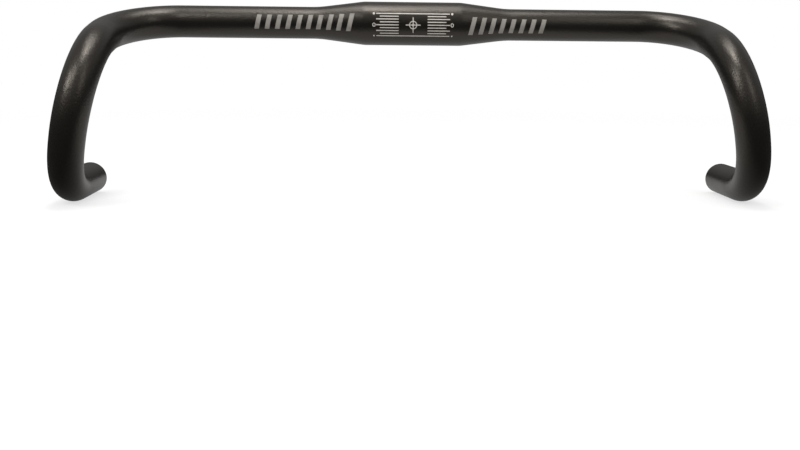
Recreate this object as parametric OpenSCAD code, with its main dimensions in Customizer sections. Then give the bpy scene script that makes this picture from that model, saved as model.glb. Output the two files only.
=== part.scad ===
// Randonneur handlebar: one aluminium tube, drawn down from a wide clamp zone to the grips
// and bent on a mandrel into straight tops, sloping ramps, round hooks and flared drops.
//
// Origin: centre of the clamp zone, on the tube's axis.
// +X runs along the tops, -Y points forwards over the hooks, +Z is up and the drops lie level.

/* [Tube] */
// Outside diameter of the tube where the hands and levers go
grip_d = 23.2; // [22.2:0.1:24.2]
// Wall of the tube past the taper
tube_wall = 1.8; // [1.4:0.1:2.6]
// Bevel on the outer and the inner edge of each cut end
end_bevel = 0.4; // [0.2:0.1:0.6]
// How far each bend draws the tube in, on the radius
bend_draw = 0.02; // [0.01:0.01:0.1]

/* [Clamp zone] */
// Outside diameter where the stem clamps
clamp_d = 31.8; // [28:0.1:35]
// Length of the full-diameter clamp zone
clamp_len = 69; // [50:1:90]
// Wall of the tube in the clamp zone
clamp_wall = 2.4; // [1.6:0.1:3.2]
// Length of the cone from the clamp zone down to the grips
cone_len = 34; // [24:1:50]
// Length of the rounding between the clamp zone and the cone
clamp_round = 4; // [1:0.5:10]
// Length of the rounding between the cone and the grip
grip_round = 12; // [2:0.5:20]

/* [Tops and corners] */
// From the middle of the bar to the start of the corner bend
top_half = 172; // [150:1:210]
// Bend radius of the corner, on the tube's axis
corner_r = 47; // [32:0.5:60]
// Angle that the corner bend turns through
corner_turn = 90; // [75:0.5:105]
// Slope of the ramp below level, when the drops are level
ramp_slope = 16; // [0:0.5:40]

/* [Hooks and drops] */
// Straight ramp between the corner and the hook
ramp_len = 9; // [4:0.5:40]
// Bend radius of the upper hook, on the tube's axis
upper_hook_r = 55; // [40:0.5:75]
// Angle that the upper hook turns through
upper_hook_turn = 90; // [60:0.5:110]
// Short straight between the two hook bends, where the bender grips the tube
hook_straight = 3; // [2:0.5:15]
// Bend radius of the lower hook, on the tube's axis
lower_hook_r = 47.5; // [40:0.5:75]
// Lean of the hook's plane, which carries the drops out past the hoods
hook_flare = 15; // [0:0.5:25]
// Straight drop from the lower hook to the cut end
drop_len = 48; // [30:1:120]

/* [Hidden] */
$fn = 48;
overshoot = 2;      // how far a cut runs out past the surface that it opens
bend_lap = 0.5;     // how far a bend, which is thinner, reaches into the straights
round_steps = 6;    // facets along each rounding of the cone

grip_r = grip_d / 2;
clamp_r = clamp_d / 2;
grip_bore_r = grip_r - tube_wall;
clamp_bore_r = clamp_r - clamp_wall;

// Middles of the two roundings of the cone, from the middle of the bar.
cone_in = clamp_len / 2 + clamp_round / 2;
cone_out = cone_in + cone_len;

// The ramp's own fall and the lean of the hook leave this much of a turn before level.
lower_hook_turn = 180 - atan(tan(ramp_slope) / cos(hook_flare)) - upper_hook_turn;

// The bender's schedule, from the end of the straight tops outwards. Each row is the roll of the
// tube, the radius and the angle of a bend, then the straight length that is fed past it.
ROLL = 0;
RADIUS = 1;
TURN = 2;
FEED = 3;
schedule = [
    [90 + ramp_slope, corner_r, corner_turn, ramp_len],
    [90 + hook_flare, upper_hook_r, upper_hook_turn, hook_straight],
    [0, lower_hook_r, lower_hook_turn, drop_len]
];

// Height of a line that turns up by a slope at distance 0, eased in over a rounding that lies
// half on each side.
function eased(distance, slope, rounding) = let (
    t = max(0, min(rounding, distance + rounding / 2)),
    past = max(0, distance - rounding / 2)
) slope * (t * t / (2 * rounding) + past);

// Radius of a tapered surface at a distance from the middle of the bar.
function tapered_r(x, inner_r, outer_r) = let (slope = (inner_r - outer_r) / cone_len)
    inner_r - eased(x - cone_in, slope, clamp_round) + eased(x - cone_out, slope, grip_round);

// Distances from the middle of the bar where a tapered surface has its points.
taper_x = concat(
    [for (i = [0 : round_steps]) cone_in + clamp_round * (i / round_steps - 1 / 2)],
    [for (i = [0 : round_steps]) cone_out + grip_round * (i / round_steps - 1 / 2)]
);

// The straight tops along +Z: the clamp zone with a cone and a thinner straight on each side.
module tops_rod(inner_r, outer_r) {
    upper = [
        for (x = taper_x) [tapered_r(x, inner_r, outer_r), x],
        [outer_r, top_half]
    ];
    lower = [for (i = [len(upper) - 1 : -1 : 0]) [upper[i][0], -upper[i][1]]];
    rotate_extrude()
        polygon(concat([[0, top_half], [0, -top_half]], lower, upper));
}

// Rod from the origin along +Z that bends towards -X, drawn in and lapped into both straights.
module bend(rod_r, radius, turn) {
    lap_turn = bend_lap / radius * 180 / PI;
    translate([-radius, 0, 0])
        rotate([90, 0, 0])
            rotate_extrude(angle = turn + 2 * lap_turn, start = -lap_turn)
                translate([radius, 0])
                    circle(r = rod_r - bend_draw);
}

// Carries its children to the end of such a bend, with +Z along the rod again.
module past_bend(radius, turn) {
    translate([-radius, 0, 0])
        rotate([0, -turn, 0])
            translate([radius, 0, 0])
                children();
}

// Round rod along the schedule, from a given row on. Its children go to the cut end.
module bent_rod(rod_r, row = 0) {
    radius = schedule[row][RADIUS];
    turn = schedule[row][TURN];
    feed = schedule[row][FEED];
    rotate([0, 0, schedule[row][ROLL]]) {
        bend(rod_r, radius, turn);
        past_bend(radius, turn) {
            cylinder(r = rod_r, h = feed);
            translate([0, 0, feed])
                if (row < len(schedule) - 1)
                    bent_rod(rod_r, row + 1)
                        children();
                else
                    children();
        }
    }
}

// Whole bar as a solid rod, along +X and bent on both sides. Its children go to the cut ends.
module bar_rod(clamp_zone_r, side_r) {
    rotate([0, 90, 0])
        tops_rod(clamp_zone_r, side_r);
    for (side = [0, 1])
        mirror([side, 0, 0])
            rotate([0, 90, 0])
                translate([0, 0, top_half])
                    bent_rod(side_r)
                        children();
}

// Cutter that opens the bore at a cut end and bevels both of its edges. The end faces +Z.
module end_cut() {
    depth = end_bevel + overshoot;
    translate([0, 0, -end_bevel]) {
        cylinder(r1 = grip_bore_r, r2 = grip_bore_r + depth, h = depth);
        difference() {
            cylinder(r = grip_r + overshoot, h = depth);
            cylinder(r1 = grip_r, r2 = grip_r - depth, h = depth);
        }
    }
}

module handlebar() {
    color([0.11, 0.105, 0.1])
        difference() {
            bar_rod(clamp_r, grip_r);
            bar_rod(clamp_bore_r, grip_bore_r)
                end_cut();
        }
}

handlebar();
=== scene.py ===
import math

import bpy
from mathutils import Matrix, Vector


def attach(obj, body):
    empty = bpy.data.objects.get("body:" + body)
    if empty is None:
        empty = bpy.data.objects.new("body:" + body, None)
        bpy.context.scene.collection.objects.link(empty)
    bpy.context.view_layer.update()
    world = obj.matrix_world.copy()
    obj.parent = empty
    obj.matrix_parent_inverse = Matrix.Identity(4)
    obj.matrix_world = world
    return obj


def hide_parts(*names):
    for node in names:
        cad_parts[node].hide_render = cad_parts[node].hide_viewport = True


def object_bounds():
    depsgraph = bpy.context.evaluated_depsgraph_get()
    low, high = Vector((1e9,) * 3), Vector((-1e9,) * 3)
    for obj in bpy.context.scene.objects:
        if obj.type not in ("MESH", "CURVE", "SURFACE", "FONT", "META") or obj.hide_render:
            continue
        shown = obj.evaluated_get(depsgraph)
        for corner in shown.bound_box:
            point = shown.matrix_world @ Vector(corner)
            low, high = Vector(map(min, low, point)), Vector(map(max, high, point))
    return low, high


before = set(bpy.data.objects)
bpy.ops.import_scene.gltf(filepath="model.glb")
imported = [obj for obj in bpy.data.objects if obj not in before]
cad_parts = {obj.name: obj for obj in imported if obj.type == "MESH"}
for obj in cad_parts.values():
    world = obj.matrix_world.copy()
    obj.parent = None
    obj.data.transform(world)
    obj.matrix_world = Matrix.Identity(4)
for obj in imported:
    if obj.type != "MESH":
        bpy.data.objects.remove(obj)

cad_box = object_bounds()


# Bar: one drawn tube of aluminium alloy, thick-walled where the stem clamps it and coned down
# to the grips. It is bent cold on a mandrel, three bends a side, and its two ends are cut
# square, bevelled and left open.
MM = 0.001
CLAMP_R, CLAMP_BORE_R = 15.9 * MM, 13.5 * MM
GRIP_R, GRIP_BORE_R = 11.6 * MM, 9.8 * MM
CLAMP_HALF, CONE_LENGTH = 34.5 * MM, 34 * MM
CLAMP_ROUNDING, GRIP_ROUNDING = 4 * MM, 12 * MM
TOP_HALF, RAMP_LENGTH, HOOK_STRAIGHT, DROP_LENGTH = 172 * MM, 9 * MM, 3 * MM, 48 * MM
CORNER_R, UPPER_HOOK_R, LOWER_HOOK_R = 47 * MM, 55 * MM, 47.5 * MM
QUARTER_TURN = math.pi / 2
RAMP_SLOPE, HOOK_FLARE = math.radians(16), math.radians(15)
LOWER_HOOK_TURN = QUARTER_TURN - math.atan(math.tan(RAMP_SLOPE) / math.cos(HOOK_FLARE))
END_BEVEL = 0.4 * MM
AROUND = 96
OUTSIDE_STEP, BORE_STEP = 2.5, 5  # degrees of a bend to each ring of faces
TOUCHING = 1e-6


def rounded_rise(distance, rounding):
    """How far a line has risen, at 1 in 1, that turns up over a rounding around distance 0."""
    along = max(0, min(rounding, distance + rounding / 2))
    return along * along / (2 * rounding) + max(0, distance - rounding / 2)


def coned_radius(x, clamp_r, grip_r):
    """Radius of the outside or of the bore at a distance from the middle of the bar."""
    fall = (clamp_r - grip_r) / CONE_LENGTH
    first = CLAMP_HALF + CLAMP_ROUNDING / 2
    return (clamp_r - fall * rounded_rise(x - first, CLAMP_ROUNDING)
            + fall * rounded_rise(x - first - CONE_LENGTH, GRIP_ROUNDING))


def draw_half_wall(name, clamp_r, grip_r, mouth_r, degrees_a_step):
    """Draws one wall of the tube from the middle of the bar to the cut end on the right."""
    bpy.ops.object.select_all(action="DESELECT")
    bpy.ops.mesh.primitive_circle_add(vertices=AROUND, radius=clamp_r,
                                      rotation=(0, QUARTER_TURN, 0))
    wall = bpy.context.object
    wall.name = name
    bpy.ops.object.transform_apply(location=False, rotation=True, scale=False)
    bpy.ops.object.mode_set(mode="EDIT")
    bpy.ops.mesh.select_mode(type="EDGE")
    bpy.ops.mesh.select_all(action="SELECT")
    place, heading = Vector((0, 0, 0)), Vector((1, 0, 0))
    radius = clamp_r

    def feed(length, new_radius):
        nonlocal place, radius
        place = place + heading * length
        bpy.ops.mesh.extrude_region_move(TRANSFORM_OT_translate={"value": heading * length})
        if abs(new_radius - radius) > TOUCHING / 10:
            shrink = new_radius / radius
            bpy.ops.transform.resize(value=(shrink, shrink, shrink), center_override=place)
            radius = new_radius

    def bend(inward, bend_r, turn):
        nonlocal place, heading
        axis = heading.cross(inward)
        centre = place + inward * bend_r
        bpy.ops.mesh.spin(steps=round(math.degrees(turn) / degrees_a_step), angle=-turn,
                          center=centre, axis=axis)
        turned = Matrix.Rotation(turn, 3, axis)
        place = centre - turned @ inward * bend_r
        heading = turned @ heading
        return turned @ inward

    # The rings lie close together over the two roundings of the cone and wider between them.
    first = CLAMP_HALF + CLAMP_ROUNDING / 2
    second = first + CONE_LENGTH
    cone_start, cone_end = first + CLAMP_ROUNDING / 2, second - GRIP_ROUNDING / 2
    rings = [first + CLAMP_ROUNDING * (i / 8 - 0.5) for i in range(9)]
    rings += [cone_start + (cone_end - cone_start) * i / 4 for i in (1, 2, 3)]
    rings += [second + GRIP_ROUNDING * (i / 12 - 0.5) for i in range(13)]
    for x in rings:
        feed(x - place.x, coned_radius(x, clamp_r, grip_r))
    feed((TOP_HALF - place.x) / 2, grip_r)
    feed(TOP_HALF - place.x, grip_r)

    ramp_side = Vector((0, -math.cos(RAMP_SLOPE), -math.sin(RAMP_SLOPE)))
    bend(ramp_side, CORNER_R, QUARTER_TURN)
    feed(RAMP_LENGTH, grip_r)
    down = Vector((0, 0, -1)) + heading * heading.z
    down = Matrix.Rotation(HOOK_FLARE, 3, heading) @ down.normalized()
    down = bend(down, UPPER_HOOK_R, QUARTER_TURN)
    feed(HOOK_STRAIGHT, grip_r)
    bend(down, LOWER_HOOK_R, LOWER_HOOK_TURN)
    feed(DROP_LENGTH - END_BEVEL, grip_r)
    feed(END_BEVEL, mouth_r)
    bpy.ops.object.mode_set(mode="OBJECT")
    return wall, place, heading


bore = draw_half_wall("bore_wall", CLAMP_BORE_R, GRIP_BORE_R, GRIP_BORE_R + END_BEVEL,
                      BORE_STEP)[0]
bar, cut_end, drop_heading = draw_half_wall("satin_black_bar", CLAMP_R, GRIP_R,
                                            GRIP_R - END_BEVEL, OUTSIDE_STEP)


def depth_from_end(vertex):
    """How far a vertex of the bar lies from the plane of the cut end."""
    return abs((vertex.co - cut_end).dot(drop_heading))


# The bore and the outside are joined at the cut end by a narrow flat rim.
bpy.ops.object.select_all(action="DESELECT")
bore.select_set(True)
bar.select_set(True)
bpy.context.view_layer.objects.active = bar
bpy.ops.object.join()
bpy.ops.object.mode_set(mode="EDIT")
bpy.ops.mesh.select_mode(type="VERT")
bpy.ops.mesh.select_all(action="DESELECT")
bpy.ops.object.mode_set(mode="OBJECT")
for vertex in bar.data.vertices:
    vertex.select = depth_from_end(vertex) < TOUCHING
bpy.ops.object.mode_set(mode="EDIT")
bpy.ops.mesh.select_mode(type="EDGE")
bpy.ops.mesh.bridge_edge_loops()
bpy.ops.object.mode_set(mode="OBJECT")

# The rim and the bevels at the cut end take a material of their own.
bar.data.materials.clear()
black = bpy.data.materials.new("satin_black_anodising")
cut_black = bpy.data.materials.new("cut_face_anodising")
bar.data.materials.append(black)
bar.data.materials.append(cut_black)
for face in bar.data.polygons:
    deepest = max(depth_from_end(bar.data.vertices[i]) for i in face.vertices)
    face.material_index = 1 if deepest < END_BEVEL + TOUCHING else 0

other_half = bar.modifiers.new("other_half", "MIRROR")
other_half.use_axis = (True, False, False)
other_half.use_mirror_merge = True
other_half.merge_threshold = 10 * TOUCHING
bpy.ops.object.modifier_apply(modifier="other_half")
bpy.ops.object.mode_set(mode="EDIT")
bpy.ops.mesh.select_all(action="SELECT")
bpy.ops.mesh.remove_doubles(threshold=TOUCHING)
bpy.ops.mesh.normals_make_consistent(inside=False)
bpy.ops.object.mode_set(mode="OBJECT")
bpy.ops.object.shade_smooth_by_angle(angle=math.radians(25))


# Finish of the bar: the tube is blasted with fine beads and anodised satin black. The blasting
# leaves a fine even grain, and the dye takes a little unevenly, so the sheen is softly clouded.
blasted_grain = bpy.data.node_groups.new("blasted_grain", "ShaderNodeTree")
for socket, direction, start in (("Grain size mm", "INPUT", 0.6), ("Cloud size mm", "INPUT", 40),
                                 ("Grain", "OUTPUT", 0), ("Cloud", "OUTPUT", 0)):
    made = blasted_grain.interface.new_socket(name=socket, in_out=direction,
                                              socket_type="NodeSocketFloat")
    made.default_value = start
nodes, links = blasted_grain.nodes, blasted_grain.links
sizes = nodes.new("NodeGroupInput")
results = nodes.new("NodeGroupOutput")
place = nodes.new("ShaderNodeTexCoord")
for result, size in (("Grain", "Grain size mm"), ("Cloud", "Cloud size mm")):
    count = nodes.new("ShaderNodeMath")
    count.operation = "DIVIDE"
    count.inputs[0].default_value = 1 / MM
    speckle = nodes.new("ShaderNodeTexNoise")
    speckle.inputs["Detail"].default_value = 3
    links.new(sizes.outputs[size], count.inputs[1])
    links.new(place.outputs["Object"], speckle.inputs["Vector"])
    links.new(count.outputs[0], speckle.inputs["Scale"])
    links.new(speckle.outputs["Fac"], results.inputs[result])


def ramp(nodes, start, end, low, high):
    """Adds a node that goes from low to high while its value goes from start to end."""
    climb = nodes.new("ShaderNodeMapRange")
    for socket, value in (("From Min", start), ("From Max", end), ("To Min", low),
                          ("To Max", high)):
        climb.inputs[socket].default_value = value
    return climb


def clouded_colour(material, grain_mm, cloud_mm, darker, lighter, span=(0, 1)):
    """Gives a material a colour that drifts between two tones over a span of the cloud."""
    material.use_nodes = True
    nodes, links = material.node_tree.nodes, material.node_tree.links
    finish = nodes.new("ShaderNodeGroup")
    finish.node_tree = blasted_grain
    finish.inputs["Grain size mm"].default_value = grain_mm
    finish.inputs["Cloud size mm"].default_value = cloud_mm
    tone = nodes.new("ShaderNodeMix")
    tone.data_type = "RGBA"
    tone.inputs["A"].default_value = (*darker, 1)
    tone.inputs["B"].default_value = (*lighter, 1)
    drift = ramp(nodes, *span, 0, 1)
    links.new(finish.outputs["Cloud"], drift.inputs["Value"])
    links.new(drift.outputs["Result"], tone.inputs["Factor"])
    links.new(tone.outputs["Result"], nodes["Principled BSDF"].inputs["Base Color"])
    return finish


finish = clouded_colour(black, grain_mm=1.5, cloud_mm=38, darker=(0.0032, 0.0026, 0.0020),
                        lighter=(0.0044, 0.0036, 0.0028))
nodes, links = black.node_tree.nodes, black.node_tree.links
surface = nodes["Principled BSDF"]
sheen = ramp(nodes, 0.3, 0.7, 0.31, 0.37)
grain = nodes.new("ShaderNodeBump")
grain.inputs["Strength"].default_value = 1
grain.inputs["Distance"].default_value = 0.15 * MM
links.new(finish.outputs["Cloud"], sheen.inputs["Value"])
links.new(sheen.outputs["Result"], surface.inputs["Roughness"])
links.new(finish.outputs["Grain"], grain.inputs["Height"])
links.new(grain.outputs["Normal"], surface.inputs["Normal"])
surface.inputs["IOR"].default_value = 1.65
surface.inputs["Specular Tint"].default_value = (1, 0.91, 0.81, 1)

# The cut faces and bevels at the ends are turned, not blasted, and take the dye greyer.
clouded_colour(cut_black, grain_mm=0.4, cloud_mm=3, darker=(0.036, 0.034, 0.031),
               lighter=(0.060, 0.057, 0.053))
cut_black.node_tree.nodes["Principled BSDF"].inputs["Roughness"].default_value = 0.45

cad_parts["handlebar"].data.materials.clear()
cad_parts["handlebar"].data.materials.append(black)
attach(bar, "root")
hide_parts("handlebar")


# Ink of the prints: grey pad-printing ink in two tones, laid on the anodising a few hundredths
# of a millimetre thick. It is slightly chalky, and thinner in places where the black shows
# through.
def printing_ink(name, thin, full):
    """Makes an ink with the colours that it has where it lies thin and where it covers."""
    made = bpy.data.materials.new(name)
    clouded_colour(made, grain_mm=0.5, cloud_mm=6, darker=thin, lighter=full,
                   span=(0.25, 0.55))
    made.node_tree.nodes["Principled BSDF"].inputs["Roughness"].default_value = 0.5
    return made


ink = printing_ink("pale_grey_ink", (0.50, 0.465, 0.425), (0.62, 0.58, 0.53))
dark_ink = printing_ink("mid_grey_ink", (0.20, 0.185, 0.168), (0.29, 0.27, 0.245))

INK_PROUD = 0.03 * MM
INK_THICK = 0.05 * MM
MARKS_Y = -30 * MM  # the marks are drawn flat here, in front of the bar, and then pressed on
FACING_FORWARDS = (QUARTER_TURN, 0, 0)


def cut_line(x_start, x_end, z, width, pieces=1, rows=2):
    """A straight line of ink across the bar, as a flat grid in front of it."""
    bpy.ops.object.select_all(action="DESELECT")
    bpy.ops.mesh.primitive_grid_add(x_subdivisions=pieces, y_subdivisions=rows, size=1,
                                    location=((x_start + x_end) / 2, MARKS_Y, z),
                                    rotation=FACING_FORWARDS)
    line = bpy.context.object
    line.scale = (abs(x_end - x_start), width, 1)
    bpy.ops.object.transform_apply(location=True, rotation=True, scale=True)
    return line


def cut_disc(x, z, radius, corners):
    """A filled round or cornered dot of ink."""
    bpy.ops.mesh.primitive_circle_add(vertices=corners, radius=radius, fill_type="TRIFAN",
                                      location=(x, MARKS_Y, z), rotation=FACING_FORWARDS)
    bpy.ops.object.transform_apply(location=True, rotation=True, scale=True)
    return bpy.context.object


def cut_ring(x, z, radius, corners, width, narrowing=1):
    """A ring of ink, which can be narrower across the bar than it is high."""
    bpy.ops.mesh.primitive_circle_add(vertices=corners, radius=radius, fill_type="NGON",
                                      location=(x, MARKS_Y, z), rotation=FACING_FORWARDS)
    ring = bpy.context.object
    ring.scale = (narrowing, 1, 1)
    bpy.ops.object.transform_apply(location=True, rotation=True, scale=True)
    bpy.ops.object.mode_set(mode="EDIT")
    bpy.ops.mesh.select_all(action="SELECT")
    bpy.ops.mesh.inset(thickness=width)
    bpy.ops.mesh.delete(type="FACE")
    bpy.ops.object.mode_set(mode="OBJECT")
    return ring


def lay_on_bar(marks, name, proud, finish_of_print):
    """Joins flat marks that face forwards, presses them on the front of the bar and thickens
    them to a film of ink."""
    bpy.ops.object.select_all(action="DESELECT")
    for mark in marks:
        mark.select_set(True)
    bpy.context.view_layer.objects.active = marks[0]
    bpy.ops.object.join()
    film = bpy.context.object
    film.name = name
    film.data.name = name
    press = film.modifiers.new("press", "SHRINKWRAP")
    press.target = bar
    press.wrap_method = "PROJECT"
    press.wrap_mode = "ABOVE_SURFACE"
    press.use_project_x, press.use_project_y, press.use_project_z = False, True, False
    press.use_positive_direction, press.use_negative_direction = True, False
    press.offset = proud
    bpy.ops.object.modifier_apply(modifier="press")
    thickness = film.modifiers.new("thickness", "SOLIDIFY")
    thickness.thickness = INK_THICK
    thickness.offset = -1
    bpy.ops.object.modifier_apply(modifier="thickness")
    film.data.materials.clear()
    film.data.materials.append(finish_of_print)
    return film


# Centring scale: printed in pale ink round the front of the clamp zone, so that the bar can be
# set level and in the middle of the stem. Seven lines lie on each side of a cross, inside two
# long border lines with dots at their ends, and a small ring marks the middle line on each side.
SCALE_MIDDLE = math.radians(-6.0)
LINE_STEP = math.radians(7.57)
LINE_WIDTH = 0.72 * MM
LINE_START, SHORT_LINE_END, LONG_LINE_END = 10.8 * MM, 24.8 * MM, 27.6 * MM
BORDER_END, DOTS_X = 27.4 * MM, 29.2 * MM
BORDER = 4  # line steps from the middle line to each border line


def front_height(steps):
    """Height on the front of the clamp zone, a number of line steps round from the middle."""
    return CLAMP_R * math.sin(SCALE_MIDDLE + steps * LINE_STEP)


def front_width(steps):
    """Height that a line of the scale has when it is seen straight from the front."""
    return LINE_WIDTH * math.cos(SCALE_MIDDLE + steps * LINE_STEP)


marks = []
for steps in range(1 - BORDER, BORDER):
    outer = SHORT_LINE_END if steps % 2 else LONG_LINE_END
    for side in (-1, 1):
        marks.append(cut_line(side * LINE_START, side * outer, front_height(steps),
                              front_width(steps)))
for steps in (-BORDER, BORDER):
    marks.append(cut_line(-BORDER_END, BORDER_END, front_height(steps), front_width(steps)))
for side in (-1, 1):
    for steps, dot_r in ((BORDER, 0.85 * MM), (-BORDER, 0.55 * MM)):
        marks.append(cut_disc(side * DOTS_X, front_height(steps), dot_r, corners=20))
    marks.append(cut_ring(side * DOTS_X, front_height(0), radius=1.5 * MM, corners=32,
                          width=0.55 * MM, narrowing=0.79))
scale_print = lay_on_bar(marks, "centring_scale", INK_PROUD, ink)
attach(scale_print, "root")


# Cross in the middle of the scale: a thin ring with two crossing hairlines and a filled
# diamond where they meet. It is printed with the scale, in the same ink.
HAIRLINE = 0.62 * MM
ARM = 5.5 * MM
OVER_THE_ARMS = 0.005 * MM

arms = [cut_line(-ARM, ARM, front_height(0), HAIRLINE, pieces=8, rows=2),
        cut_line(-HAIRLINE / 2, HAIRLINE / 2, front_height(0), 2 * ARM, pieces=2, rows=24)]
diamond = cut_disc(0, front_height(0), 1.25 * MM, corners=4)
ring = cut_ring(0, front_height(0), radius=3.0 * MM, corners=64, width=HAIRLINE)
cross_arms = lay_on_bar(arms, "centring_cross_arms", INK_PROUD, ink)
cross_ring = lay_on_bar([ring, diamond], "centring_cross_ring", INK_PROUD + OVER_THE_ARMS, ink)
for piece in (cross_arms, cross_ring):
    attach(piece, "root")


# Slanted bars on both tops, from the cones outwards: plain decoration in the darker ink,
# printed as a row of short strokes that lean alike and wrap a little way round the tube.
SLANT = 0.25
STROKE_PITCH, STROKE_WIDTH = 7.6 * MM, 3.4 * MM
STROKE_REACH = 26  # degrees round the tube, above and below the middle of the row

for name, inner, outer, middle in (("slanted_bars_left", -43 * MM, -119 * MM, 0),
                                   ("slanted_bars_right", 41 * MM, 102 * MM, -8)):
    marks = []
    count = round(abs(outer - inner) / STROKE_PITCH)
    for i in range(count):
        x = inner + (outer - inner) * (i + 0.5) / count
        tube_r = coned_radius(abs(x), CLAMP_R, GRIP_R)
        low = tube_r * math.sin(math.radians(middle - STROKE_REACH))
        high = tube_r * math.sin(math.radians(middle + STROKE_REACH))
        stroke = cut_line(x - STROKE_WIDTH / 2, x + STROKE_WIDTH / 2, (low + high) / 2,
                          high - low, pieces=3, rows=16)
        stroke.data.transform(Matrix(((1, 0, SLANT, -SLANT * (low + high) / 2), (0, 1, 0, 0),
                                      (0, 0, 1, 0), (0, 0, 0, 1))))
        marks.append(stroke)
    row_of_strokes = lay_on_bar(marks, name, INK_PROUD, dark_ink)
    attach(row_of_strokes, "root")


# Studio floor: a plain white floor under the bar, which stands on its drops. The camera sees it
# white. In the bar's sheen the floor is painted dim, which keeps the rims dark as in the
# photograph, and a patch of it below and behind the bar glows there as a painted reflection.
def direct_view(nodes, links):
    """Adds nodes that tell what the camera sees, straight or through glass, from the rest."""
    rays = nodes.new("ShaderNodeLightPath")
    seen = nodes.new("ShaderNodeMath")
    seen.operation = "ADD"
    seen.use_clamp = True
    links.new(rays.outputs["Is Camera Ray"], seen.inputs[0])
    links.new(rays.outputs["Is Transmission Ray"], seen.inputs[1])
    return rays, seen.outputs[0]


bpy.ops.object.select_all(action="DESELECT")
bpy.ops.mesh.primitive_plane_add(size=12, location=(0, 0, cad_box[0][2]))
floor = bpy.context.object
floor.name = "floor"
bpy.ops.object.transform_apply(location=True, rotation=True, scale=True)
pale = bpy.data.materials.new("white_floor")
pale.use_nodes = True
nodes, links = pale.node_tree.nodes, pale.node_tree.links
surface = nodes["Principled BSDF"]
surface.inputs["Roughness"].default_value = 0.9
surface.inputs["Specular IOR Level"].default_value = 0
surface.inputs["Emission Color"].default_value = (1, 1, 1, 1)
rays, seen = direct_view(nodes, links)
# Painted shade in the sheen: the floor is pale to the camera but made much darker for glossy
# rays.
paleness_dimmed_in_sheen = nodes.new("ShaderNodeMix")
paleness_dimmed_in_sheen.data_type = "RGBA"
paleness_dimmed_in_sheen.inputs["A"].default_value = (0.3, 0.3, 0.3, 1)
paleness_dimmed_in_sheen.inputs["B"].default_value = (0.03, 0.03, 0.03, 1)
links.new(rays.outputs["Is Glossy Ray"], paleness_dimmed_in_sheen.inputs["Factor"])
links.new(paleness_dimmed_in_sheen.outputs["Result"], surface.inputs["Base Color"])

place = nodes.new("ShaderNodeTexCoord")
distance = nodes.new("ShaderNodeVectorMath")
distance.operation = "LENGTH"
links.new(place.outputs["Object"], distance.inputs[0])
whitened = ramp(nodes, 0.5, 3, 0.66, 0.76)
links.new(distance.outputs["Value"], whitened.inputs["Value"])
glow = nodes.new("ShaderNodeMath")
glow.operation = "MULTIPLY"
links.new(seen, glow.inputs[0])
links.new(whitened.outputs["Result"], glow.inputs[1])

# Painted reflection: a round patch of floor below and behind the bar glows for glossy rays only,
# though no lamp is there.
patch = nodes.new("ShaderNodeMapping")
patch.inputs["Location"].default_value = (-0.03, -0.56, 0)
patch.inputs["Scale"].default_value = (2.8, 2.2, 0)
links.new(place.outputs["Object"], patch.inputs["Vector"])
off_patch = nodes.new("ShaderNodeVectorMath")
off_patch.operation = "LENGTH"
links.new(patch.outputs["Vector"], off_patch.inputs[0])
shine = ramp(nodes, 0.8, 1.08, 0.6, 0.02)
shine.interpolation_type = "SMOOTHSTEP"
links.new(off_patch.outputs["Value"], shine.inputs["Value"])
mirrored = nodes.new("ShaderNodeMath")
mirrored.operation = "MULTIPLY_ADD"
links.new(rays.outputs["Is Glossy Ray"], mirrored.inputs[0])
links.new(shine.outputs["Result"], mirrored.inputs[1])
links.new(glow.outputs[0], mirrored.inputs[2])
links.new(mirrored.outputs[0], surface.inputs["Emission Strength"])
floor.data.materials.append(pale)


# Surround: white to the camera and through glass, a little under white for the light that it
# gives, and in the sheen a dim room that grows lighter towards its ceiling.
world = bpy.data.worlds.new("white_surround")
bpy.context.scene.world = world
world.use_nodes = True
nodes, links = world.node_tree.nodes, world.node_tree.links
surround = nodes["Background"]
surround.inputs["Color"].default_value = (1, 1, 1, 1)
rays, seen = direct_view(nodes, links)
place = nodes.new("ShaderNodeTexCoord")
axes = nodes.new("ShaderNodeSeparateXYZ")
links.new(place.outputs["Generated"], axes.inputs[0])
ceiling = ramp(nodes, 0.05, 0.45, 0.05, 0.34)
links.new(axes.outputs["Z"], ceiling.inputs["Value"])
unseen = ramp(nodes, 0, 1, 0.9, 1)
links.new(rays.outputs["Is Glossy Ray"], unseen.inputs["Value"])
links.new(ceiling.outputs["Result"], unseen.inputs["To Max"])
level = ramp(nodes, 0, 1, 0, 1)
links.new(seen, level.inputs["Value"])
links.new(unseen.outputs["Result"], level.inputs["To Min"])
links.new(level.outputs["Result"], surround.inputs["Strength"])


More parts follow.
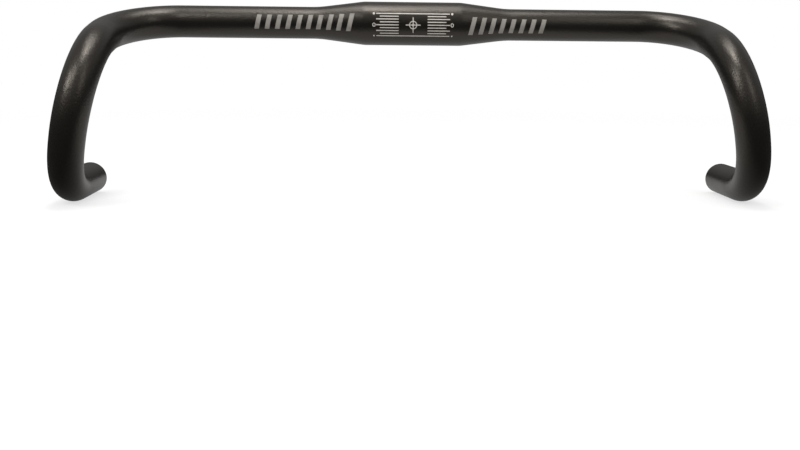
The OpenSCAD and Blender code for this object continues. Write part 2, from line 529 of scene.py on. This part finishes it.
# Lamps: a wide soft box overhead and a smaller one ahead of it draw the long highlights on the
# tops. Three more stand beside the camera and put the patches of light on the hooks.
for name, place, size, size_y, power in (
        ("overhead_softbox", (0, 0.05, 1.1), 0.8, 0.35, 3.1),
        ("front_overhead_softbox", (-0.05, -0.29, 1.06), 0.3, 0.3, 3.4),
        ("left_softbox", (-0.76, -0.57, 0.53), 0.22, 0.22, 1.75),
        ("upper_left_softbox", (-0.483, -0.69, 0.707), 0.25, 0.25, 1.3),
        ("right_softbox", (0.535, -0.764, 0.583), 0.22, 0.6, 0.8)):
    lamp = bpy.data.lights.new(name, "AREA")
    lamp.shape = "RECTANGLE"
    lamp.size, lamp.size_y = size, size_y
    lamp.energy = power
    lamp.color = (1, 0.99, 0.97)
    softbox = bpy.data.objects.new(name, lamp)
    bpy.context.scene.collection.objects.link(softbox)
    aim = Vector(place).to_track_quat("Z", "Y").to_matrix().to_4x4()
    softbox.matrix_world = Matrix.Translation(place) @ aim
    softbox.visible_camera = False


# Camera: in front of the bar, just below the height of the tops and a little to the left of the
# middle, and tipped down, as the photograph was taken. The numbers come from a fit to it.
IMAGE_WIDTH, IMAGE_HEIGHT = 800, 450
FOCAL_LENGTH, CENTRE_X, CENTRE_Y = 866.571, 423.108, 269.044  # in pixels of that image
YAW, PITCH, ROLL = -0.05423, -0.21922, -0.00771
CAMERA_PLACE = (-0.027522, -0.685156, -0.038644)

view = bpy.data.cameras.new("camera")
view.sensor_width = 36
view.sensor_fit = "HORIZONTAL"
view.lens = FOCAL_LENGTH / IMAGE_WIDTH * view.sensor_width
view.shift_x = -(CENTRE_X - IMAGE_WIDTH / 2) / IMAGE_WIDTH
view.shift_y = (CENTRE_Y - IMAGE_HEIGHT / 2) / IMAGE_WIDTH
view.clip_start = 0.01
camera = bpy.data.objects.new("camera", view)
bpy.context.scene.collection.objects.link(camera)
right = Matrix.Rotation(YAW, 3, "Z") @ Vector((1, 0, 0))
forward = Matrix.Rotation(YAW, 3, "Z") @ Vector((0, 1, 0))
up = Matrix.Rotation(PITCH, 3, right) @ Vector((0, 0, 1))
forward = Matrix.Rotation(PITCH, 3, right) @ forward
right = Matrix.Rotation(ROLL, 3, forward) @ right
up = Matrix.Rotation(ROLL, 3, forward) @ up
turn = Matrix((right, up, -forward)).transposed().to_4x4()
camera.matrix_world = Matrix.Translation(CAMERA_PLACE) @ turn
bpy.context.scene.camera = camera
bpy.context.scene.view_settings.view_transform = "Standard"
